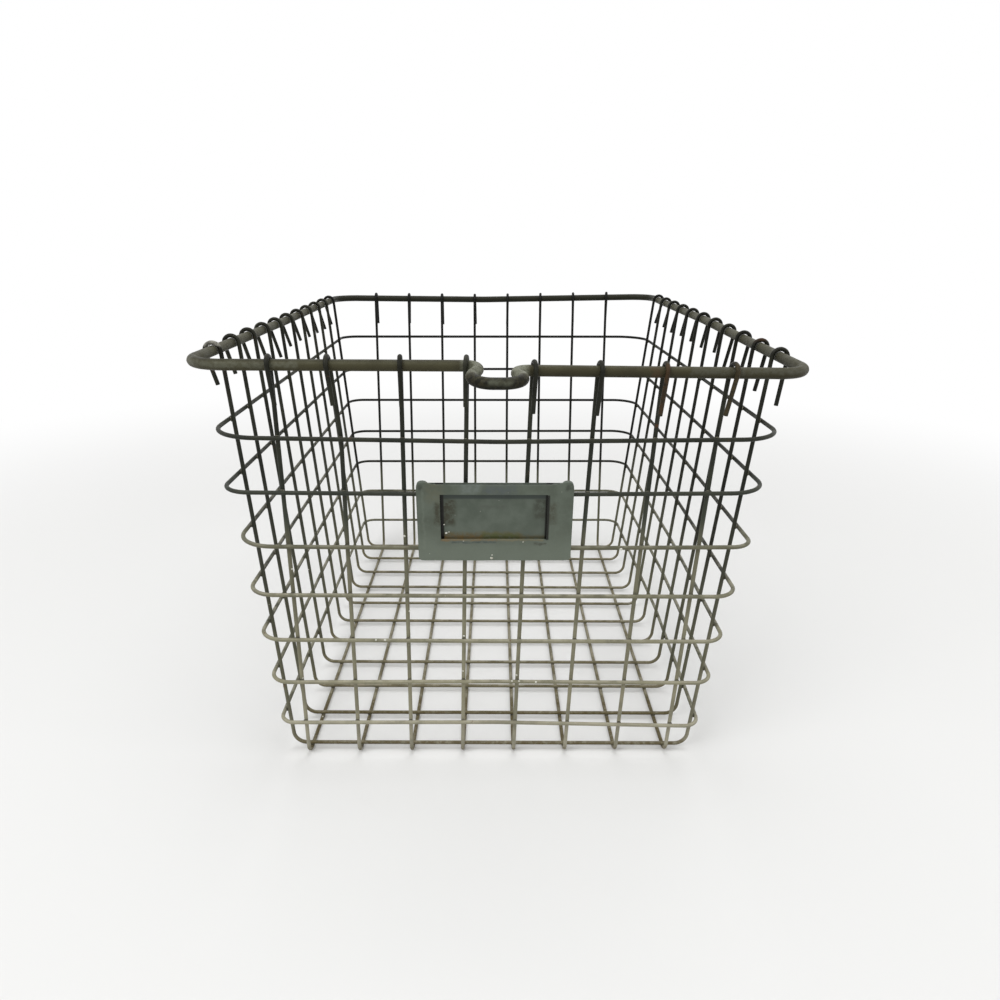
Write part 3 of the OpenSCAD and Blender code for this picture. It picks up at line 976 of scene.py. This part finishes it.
@dataclass
class PhotoCamera:
    """The camera that took the photograph, in the frame of the part."""

    place_mm: tuple[float, float, float] = (-5.1, -546.8, 312.0)
    pitch_down_deg: float = 19.754
    yaw_deg: float = -0.932
    roll_deg: float = 0.358
    lens_mm: float = 27.04
    sensor_mm: float = 36.0
    picture: float = 1000.0

    def axes(self) -> Matrix:
        """Works out the camera's turn.

        Returns:
            The rotation whose columns are the camera's right, up and backward directions.
        """
        pitch = math.radians(self.pitch_down_deg)
        yaw = Matrix.Rotation(math.radians(self.yaw_deg), 3, "Z")
        ahead = yaw @ Vector((0, math.cos(pitch), -math.sin(pitch)))
        up = yaw @ Vector((0, math.sin(pitch), math.cos(pitch)))
        right = yaw @ Vector((1, 0, 0))
        roll = math.radians(self.roll_deg)
        turned_right = math.cos(roll) * right + math.sin(roll) * up
        turned_up = math.cos(roll) * up - math.sin(roll) * right
        return Matrix((turned_right, turned_up, -ahead)).transposed()

    def ray(self, across: float, down: float) -> Vector:
        """Gives the direction in which the camera sees a place of the square picture.

        Args:
            across: The place from the left edge, in thousandths of the picture's side.
            down: The place from the top edge, in thousandths.

        Returns:
            The direction, of length 1.
        """
        side = self.sensor_mm / self.picture
        middle = self.picture / 2
        seen = Vector(((across - middle) * side, (middle - down) * side, -self.lens_mm))
        return (self.axes() @ seen).normalized()

    def build(self) -> bpy.types.Object:
        """Makes the camera and hands it to the scene.

        Returns:
            The camera's object.
        """
        data = bpy.data.cameras.new("photo_camera")
        data.lens = self.lens_mm
        data.sensor_width = self.sensor_mm
        data.clip_start = 0.01
        data.clip_end = 50
        camera = bpy.data.objects.new("photo_camera", data)
        camera.matrix_world = Matrix.Translation(Vector(self.place_mm) * MM) @ self.axes().to_4x4()
        bpy.context.scene.collection.objects.link(camera)
        bpy.context.scene.camera = camera
        return camera


@dataclass
class Flecks:
    """Bright flecks of bare metal, where paint sprang off the wires and the holder.

    Each place is given as the camera sees it, with the fleck's radius in millimetres.
    """

    camera: PhotoCamera
    finish: bpy.types.Material
    places: tuple[tuple[float, float, float], ...] = (
        (404.5, 536, 0.75), (464, 636, 0.7), (463, 671, 0.6), (516.5, 675, 0.8),
        (512, 681, 0.6), (519, 681, 0.6), (536, 682, 0.65), (303, 678, 0.6),
        (323, 716.5, 0.7), (385, 640, 0.7), (376, 640, 0.6), (621, 550, 1.0),
        (446, 533, 0.8), (444, 524.5, 0.45), (523, 542, 0.4), (463.5, 541, 0.4),
        (491.5, 558, 0.85), (492, 555, 0.4), (449, 532, 0.4), (292, 569, 0.6), (307, 569.5, 0.5), (284, 602, 0.6),
        (411, 611, 0.7), (209, 346, 0.6),
    )
    flat: float = 0.45
    search: tuple[float, ...] = (0, -0.8, 0.8, -1.6, 1.6, -2.4, 2.4)

    def find(
        self, trees: list[BVHTree], across: float, down: float
    ) -> tuple[Vector, Vector] | None:
        """Finds the surface that the camera sees at a place of the picture.

        Args:
            trees: The surfaces.
            across: The place from the left edge, in thousandths of the picture's side.
            down: The place from the top edge, in thousandths.

        Returns:
            The nearest surface's place and normal, or None.
        """
        start = Vector(self.camera.place_mm) * MM
        best = None
        for aside in ((x, y) for y in self.search for x in self.search):
            way = self.camera.ray(across + aside[0], down + aside[1])
            for tree in trees:
                place, normal, _, far = tree.ray_cast(start, way)
                if place is None:
                    continue
                cost = far + 0.02 * math.hypot(*aside)
                if best is None or cost < best[0]:
                    best = (cost, place, normal if normal.dot(way) < 0 else -normal)
        return best[1:] if best else None

    def build(self, parts: list[bpy.types.Object]) -> bpy.types.Object:
        """Makes all flecks as one piece.

        Args:
            parts: The objects that carry them.

        Returns:
            The piece.
        """
        graph = bpy.context.evaluated_depsgraph_get()
        trees = [BVHTree.FromObject(part, graph) for part in parts]
        shape = bmesh.new()
        for across, down, radius in self.places:
            found = self.find(trees, across, down)
            if found is None:
                LOG.warning("no surface at %s, %s", across, down)
                continue
            place, normal = found
            turn = normal.to_track_quat("Z", "Y").to_matrix().to_4x4()
            flatten = Matrix.Diagonal((radius, radius * 0.8, radius * self.flat, 1))
            stand = Matrix.Translation(place / MM) @ turn @ flatten
            fleck = bmesh.ops.create_icosphere(shape, subdivisions=2, radius=1, matrix=stand)
            for vert in fleck["verts"]:
                vert.co += noise.noise_vector(vert.co * 1.9) * radius * 0.28
        return make_piece("bare_flecks", shape, self.finish)


@dataclass
class Studio:
    """The pale floor, the white surroundings and the soft lamps."""

    floor_half_m: float = 12.0
    floor_colour: Colour = (0.80, 0.80, 0.79, 1)
    white_from_m: float = 0.42
    white_to_m: float = 1.1
    world_strength: float = 0.55

    @staticmethod
    def background_rays(nodes: bpy.types.Nodes, links: bpy.types.NodeLinks) -> Socket:
        """Finds the rays that are to see a white background.

        Args:
            nodes: The nodes to add to.
            links: The links between them.

        Returns:
            1 for the camera's rays, reflections and what glass lets through, otherwise 0.
        """
        path = nodes.new("ShaderNodeLightPath")
        seen = path.outputs["Is Camera Ray"]
        for name in ("Is Glossy Ray", "Is Transmission Ray"):
            either = nodes.new("ShaderNodeMath")
            either.operation = "MAXIMUM"
            links.new(seen, either.inputs[0])
            links.new(path.outputs[name], either.inputs[1])
            seen = either.outputs[0]
        return seen

    def build_floor(self) -> None:
        """Lays one pale sheet under the part, which turns white away from it."""
        shape = bmesh.new()
        bmesh.ops.create_grid(shape, x_segments=1, y_segments=1, size=self.floor_half_m)
        mesh = bpy.data.meshes.new("studio_floor")
        shape.to_mesh(mesh)
        shape.free()
        floor = bpy.data.objects.new("studio_floor", mesh)
        bpy.context.scene.collection.objects.link(floor)
        pale = Pattern("pale_floor")
        pale.shader.inputs["Base Color"].default_value = self.floor_colour
        pale.shader.inputs["Roughness"].default_value = 0.85
        length = pale.nodes.new("ShaderNodeVectorMath")
        length.operation = "LENGTH"
        pale.links.new(pale.place, length.inputs[0])
        away = pale.step(length.outputs["Value"], self.white_from_m / MM, self.white_to_m / MM)
        share = pale.calc("MULTIPLY", away, self.background_rays(pale.nodes, pale.links))
        white = pale.nodes.new("ShaderNodeEmission")
        white.inputs["Color"].default_value = (1, 1, 1, 1)
        both = pale.nodes.new("ShaderNodeMixShader")
        pale.links.new(share, both.inputs[0])
        pale.links.new(pale.shader.outputs[0], both.inputs[1])
        pale.links.new(white.outputs[0], both.inputs[2])
        pale.links.new(both.outputs[0], pale.nodes["Material Output"].inputs["Surface"])
        mesh.materials.append(pale.material)

    def build_world(self) -> None:
        """Makes the surroundings: white to the camera and to gloss, plain soft light otherwise."""
        world = bpy.data.worlds.new("white_room")
        world.use_nodes = True
        bpy.context.scene.world = world
        nodes, links = world.node_tree.nodes, world.node_tree.links
        background = nodes["Background"]
        background.inputs["Color"].default_value = (1, 1, 1, 1)
        strength = nodes.new("ShaderNodeMapRange")
        strength.inputs["To Min"].default_value = self.world_strength
        strength.inputs["To Max"].default_value = 1.0
        links.new(self.background_rays(nodes, links), strength.inputs["Value"])
        links.new(strength.outputs["Result"], background.inputs["Strength"])

    def build_lamp(
        self, name: str, place: tuple[float, float, float], size: float, power: float
    ) -> None:
        """Adds one soft square lamp that points at the part.

        Args:
            name: The lamp's name.
            place: Where it hangs, in metres.
            size: The side of its square, in metres.
            power: Its power in watts.
        """
        data = bpy.data.lights.new(name, "AREA")
        data.shape = "SQUARE"
        data.size = size
        data.energy = power
        lamp = bpy.data.objects.new(name, data)
        aim = Vector((0, 0, 0.12)) - Vector(place)
        turn = aim.to_track_quat("-Z", "Y").to_matrix().to_4x4()
        lamp.matrix_world = Matrix.Translation(place) @ turn
        bpy.context.scene.collection.objects.link(lamp)

    def build(self) -> None:
        """Makes the floor, the surroundings and the lamps."""
        self.build_floor()
        self.build_world()
        self.build_lamp("key_lamp", (-1.2, -1.4, 1.9), 1.2, 26)
        self.build_lamp("fill_lamp", (1.5, -0.9, 1.3), 1.4, 9)
        self.build_lamp("top_lamp", (0.1, 0.5, 2.2), 1.6, 14)


# The basket

RUST = paint(80, 54, 34)
GRIME = paint(62, 62, 50)


@dataclass
class Basket:
    """The whole dressed basket."""

    layout: Layout
    camera: PhotoCamera
    nodes: dict[str, bpy.types.Object]

    def rim_finish(self) -> RodFinish:
        """Gives the rim rod its dark olive-brown enamel, with painted highlight and shade."""
        # Painted highlight and shade: both height ramps put a paler band near the top of the rod and darken its
        # underside and top edge.
        front = (
            (239, paint(24, 23, 14)), (244, paint(33, 32, 21)), (247, paint(52, 49, 33)),
            (250, paint(62, 59, 41)), (252.5, paint(68, 66, 48)), (254, paint(36, 35, 22)),
            (256, paint(14, 13, 6)),
        )
        behind = (
            (242, paint(26, 26, 17)), (249, paint(58, 57, 44)), (252.5, paint(78, 77, 62)),
            (256.5, paint(44, 43, 31)),
        )
        # Painted shade: darkens the back of the rim.
        back = Mark(paint(27, 28, 20), 0.85, y=(180, 230), soft=6, frayed=False)
        return RodFinish(
            name="rim_enamel",
            front=front,
            behind=behind,
            behind_y=(-178, -150),
            cloud_colour=paint(42, 39, 27),
            toplit_and_rubbed_colour=paint(96, 96, 78),
            toplit_and_rubbed_high=1,
            toplit_and_rubbed_share=0.12,
            specular=0.14,
            rust_from=(0.68, 0.72),
            marks=(
                back,
                # Painted highlight: a paler strip along the front of the rim at the left.
                Mark(paint(92, 93, 80), 0.7, x=(-150, -96), y=(-195, -178), z=(250, 252.5), soft=1),
                Mark(paint(118, 120, 104), 0.8, x=(-18, -8), y=(-204, -184), z=(249, 256), soft=1.5),
                Mark(paint(128, 130, 114), 0.8, x=(6, 14), y=(-203, -184), z=(247, 256), soft=1.5),
                # Painted shade: darkens the lock loop.
                Mark(paint(12, 12, 5), 0.92, x=(-20, 20), y=(-222, -206), z=(236, 256), soft=2),
                # Painted highlight: a pale line along the lock loop.
                Mark(paint(88, 90, 76), 0.75, x=(-5, 6), y=(-222, -207), z=(247, 249), soft=1.2),
                # Painted highlight: a paler strip along the front of the rim at the right.
                Mark(paint(76, 76, 66), 0.7, x=(92, 150), y=(-200, -178), z=(247.5, 250.5), soft=1),
                Mark(RUST, 0.4, x=(73, 78), y=(-192, -178), z=(243, 251), soft=1.5),
            ),
        )

    def wire_finish(self, name: str) -> RodFinish:
        """Gives the mesh wires and bands their grey-green enamel, lighter towards the floor, partly dust and
        partly painted light, and darker higher up and behind, which is painted shade.

        Args:
            name: The finish's name.

        Returns:
            The finish.
        """
        # Painted light and shade with dust: the front ramp is lighter low down, partly dust and partly painted
        # light, and darker higher up, painted shade; the behind ramp is a darker copy, painted shade on the wires
        # behind the front wall.
        front = (
            (0, paint(158, 154, 137)), (50, paint(140, 136, 114)), (92, paint(131, 128, 107)),
            (150, paint(102, 100, 82)), (168, paint(58, 62, 54)), (190, paint(40, 43, 36)),
            (240, paint(28, 29, 22)), (262, paint(18, 17, 9)),
        )
        behind = (
            (0, paint(108, 101, 77)), (7, paint(112, 106, 83)), (20, paint(98, 97, 80)),
            (62, paint(88, 88, 72)), (120, paint(62, 63, 54)), (170, paint(36, 38, 32)),
            (240, paint(26, 27, 20)), (262, paint(20, 19, 11)),
        )
        return RodFinish(
            name=name,
            front=front,
            behind=behind,
            cloud_colour=paint(60, 61, 48),
            toplit_and_rubbed_colour=paint(172, 168, 150),
            toplit_and_rubbed_high=0.08,
            marks=(
                Mark(paint(84, 74, 46), 0.95, y=(-163, -96), z=(-1, 6), soft=4),
                # Painted shade: darkens the back wall's wires.
                Mark(paint(9, 10, 6), 0.93, y=(150, 230), z=(84, 270), soft=10, frayed=False),
                # Painted shade: darkens the upper part of the right wall's wires.
                Mark(paint(12, 12, 5), 0.75, x=(114, 170), y=(-140, 230), z=(112, 270), soft=16),
                Mark(paint(74, 52, 28), 0.6, x=(77, 84), y=(-206, -188), z=(228, 262), soft=1.5),
                Mark(paint(66, 56, 34), 0.7, x=(106, 118), y=(-206, -188), z=(226, 262), soft=2),
                Mark(RUST, 0.5, x=(140, 165), y=(-116, -107), z=(253, 262), soft=1.5),
                Mark(paint(150, 148, 138), 0.8, x=(-165, -140), y=(-148, -138), z=(253, 262)),
            ),
        )

    def dress(self, names: list[str], material: bpy.types.Material) -> None:
        """Gives CAD nodes a finish.

        Args:
            names: The nodes.
            material: The finish.
        """
        for name in names:
            for slot in self.nodes[name].material_slots:
                slot.material = material
            LOG.info("%s wears %s", name, material.name)

    def back_finish(self, to_wall: Matrix) -> SheetFinish:
        """Gives the plate behind the card its stained enamel, with painted shadow along the window's top and side
        edges.

        Args:
            to_wall: Takes a place to the card holder's frame.

        Returns:
            The finish.
        """
        return SheetFinish(
            name="holder_back_enamel",
            turn=to_wall,
            colour=paint(86, 94, 84),
            cloud_colour=paint(74, 82, 72),
            pale_colour=paint(97, 104, 93),
            flecked=0.4,
            marks=(
                # Painted shadow: a dark band along the top of the window, under the face's upper edge.
                Mark(paint(52, 60, 56), 0.9, y=(13.6, 22), soft=0.6, frayed=False),
                Mark(paint(54, 54, 40), 0.98, x=(-29, -21.0), y=(-2, 13.5), soft=1.6),
                Mark(paint(60, 64, 54), 0.9, x=(20.5, 28), y=(1.4, 13.5), soft=1.8),
                Mark(paint(74, 78, 70), 0.6, x=(-9, 6), y=(8, 10), soft=1.2),
                Mark(paint(92, 84, 58), 0.95, x=(-29, 14), y=(-12, -6.2), soft=1.3),
                Mark(paint(112, 92, 58), 0.9, x=(-28, -6), y=(-12, -8.0), soft=1.3),
                Mark(paint(78, 84, 50), 0.9, x=(-7, 13), y=(-12, -6.6), soft=1.4),
                Mark(paint(96, 90, 64), 0.8, x=(13, 27), y=(-12, -8.2), soft=1.2),
                # Painted shadow: near-black lines behind the window's left and right edges, where the face shades
                # the plate.
                Mark(paint(6, 5, 1), 0.97, x=(-31, -26.9), soft=0.4, frayed=False),
                Mark(paint(5, 4, 0), 0.97, x=(26.5, 30), soft=0.4, frayed=False),
            ),
        )

    def face_finish(self, to_wall: Matrix) -> SheetFinish:
        """Gives the holder's face its clouded enamel with grime round the window, painted shadow under the
        window's lower lip and at its right edge, and rust with a painted highlight on the lip.

        Args:
            to_wall: Takes a place to the card holder's frame.

        Returns:
            The finish.
        """
        return SheetFinish(
            name="holder_face_enamel",
            turn=to_wall,
            colour=paint(87, 95, 84),
            cloud_colour=paint(76, 83, 72),
            pale_colour=paint(102, 110, 98),
            marks=(
                Mark(paint(88, 90, 74), 0.7, x=(-36, -27), y=(12, 24), soft=2.5),
                Mark(paint(104, 112, 108), 0.7, x=(-18, -8), y=(18, 24), soft=2.0),
                Mark(paint(76, 83, 82), 0.8, x=(-6, 11), y=(16.5, 22), soft=2.0),
                Mark(paint(54, 54, 40), 0.95, x=(-32, -28.6), y=(-1, 12), soft=1.2),
                Mark(paint(64, 65, 52), 0.85, x=(28, 32), y=(0, 12), soft=1.6),
                # Painted shadow: dark bands under the window's lower lip.
                Mark(paint(64, 72, 70), 0.9, x=(-23, 1), y=(-11.9, -10.7), soft=0.6),
                Mark(paint(66, 68, 58), 0.9, x=(20.5, 27.5), y=(-12.9, -11.5), soft=0.6),
                # Rust along the window's lower lip, with a painted highlight on its top edge.
                Mark(paint(112, 96, 68), 0.9, x=(-29, 2), y=(-10.4, -9.0), soft=0.35),
                Mark(paint(112, 106, 82), 0.8, x=(2, 26), y=(-10.3, -9.0), soft=0.35),
                Mark(paint(50, 54, 44), 0.8, x=(-40, -37.5), y=(19.5, 22.5), soft=1.0),
                Mark(paint(52, 56, 48), 0.7, x=(36.5, 41.5), y=(19.0, 23.5), soft=1.0),
                Mark(paint(108, 116, 104), 0.3, x=(-38.2, -37.0), y=(-16, 20), soft=0.6),
                # Painted shadow: a near-black line at the window's right edge.
                Mark(paint(5, 4, 0), 0.95, x=(27.1, 28.5), y=(-9.6, 16.7), soft=0.5, frayed=False),
            ),
        )

    def build(self) -> None:
        """Dresses the CAD nodes and adds the pieces that the solids leave out."""
        wires = [name for name in sorted(self.nodes) if "_wire_" in name]
        bands = [name for name in sorted(self.nodes) if name.startswith("band_hoop_")]
        self.dress(["rim_rod"], self.rim_finish().material())
        self.dress(wires, self.wire_finish("wire_enamel").material())
        self.dress(bands, self.wire_finish("band_enamel").material())
        to_wall = self.layout.on_front_wall().inverted()
        self.dress(["holder_back_plate"], self.back_finish(to_wall).material())
        holder = CardHolder(self.layout, self.face_finish(to_wall).material()).build()
        nugget = BareFinish("weld_oxide", paint(92, 90, 76), paint(58, 56, 46), 0.5, (0.42, 0.6))
        Welds(self.layout, nugget.material()).build()
        bright = BareFinish(
            "bright_fleck", paint(214, 214, 204), paint(176, 174, 160), 0.2, (0.3, 0.5)
        )
        carriers = [self.nodes[name] for name in wires + bands + ["holder_back_plate"]]
        Flecks(self.camera, bright.material()).build(carriers + [holder])


def main() -> None:
    """Builds the looks round the frame, piece by piece."""
    logging.basicConfig(level=logging.INFO)
    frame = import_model()
    camera = PhotoCamera()
    camera.build()
    Studio().build()
    bpy.context.scene.view_settings.view_transform = "Standard"
    Basket(Layout(), camera, frame["nodes"]).build()


if __name__ == "__main__":
    main()
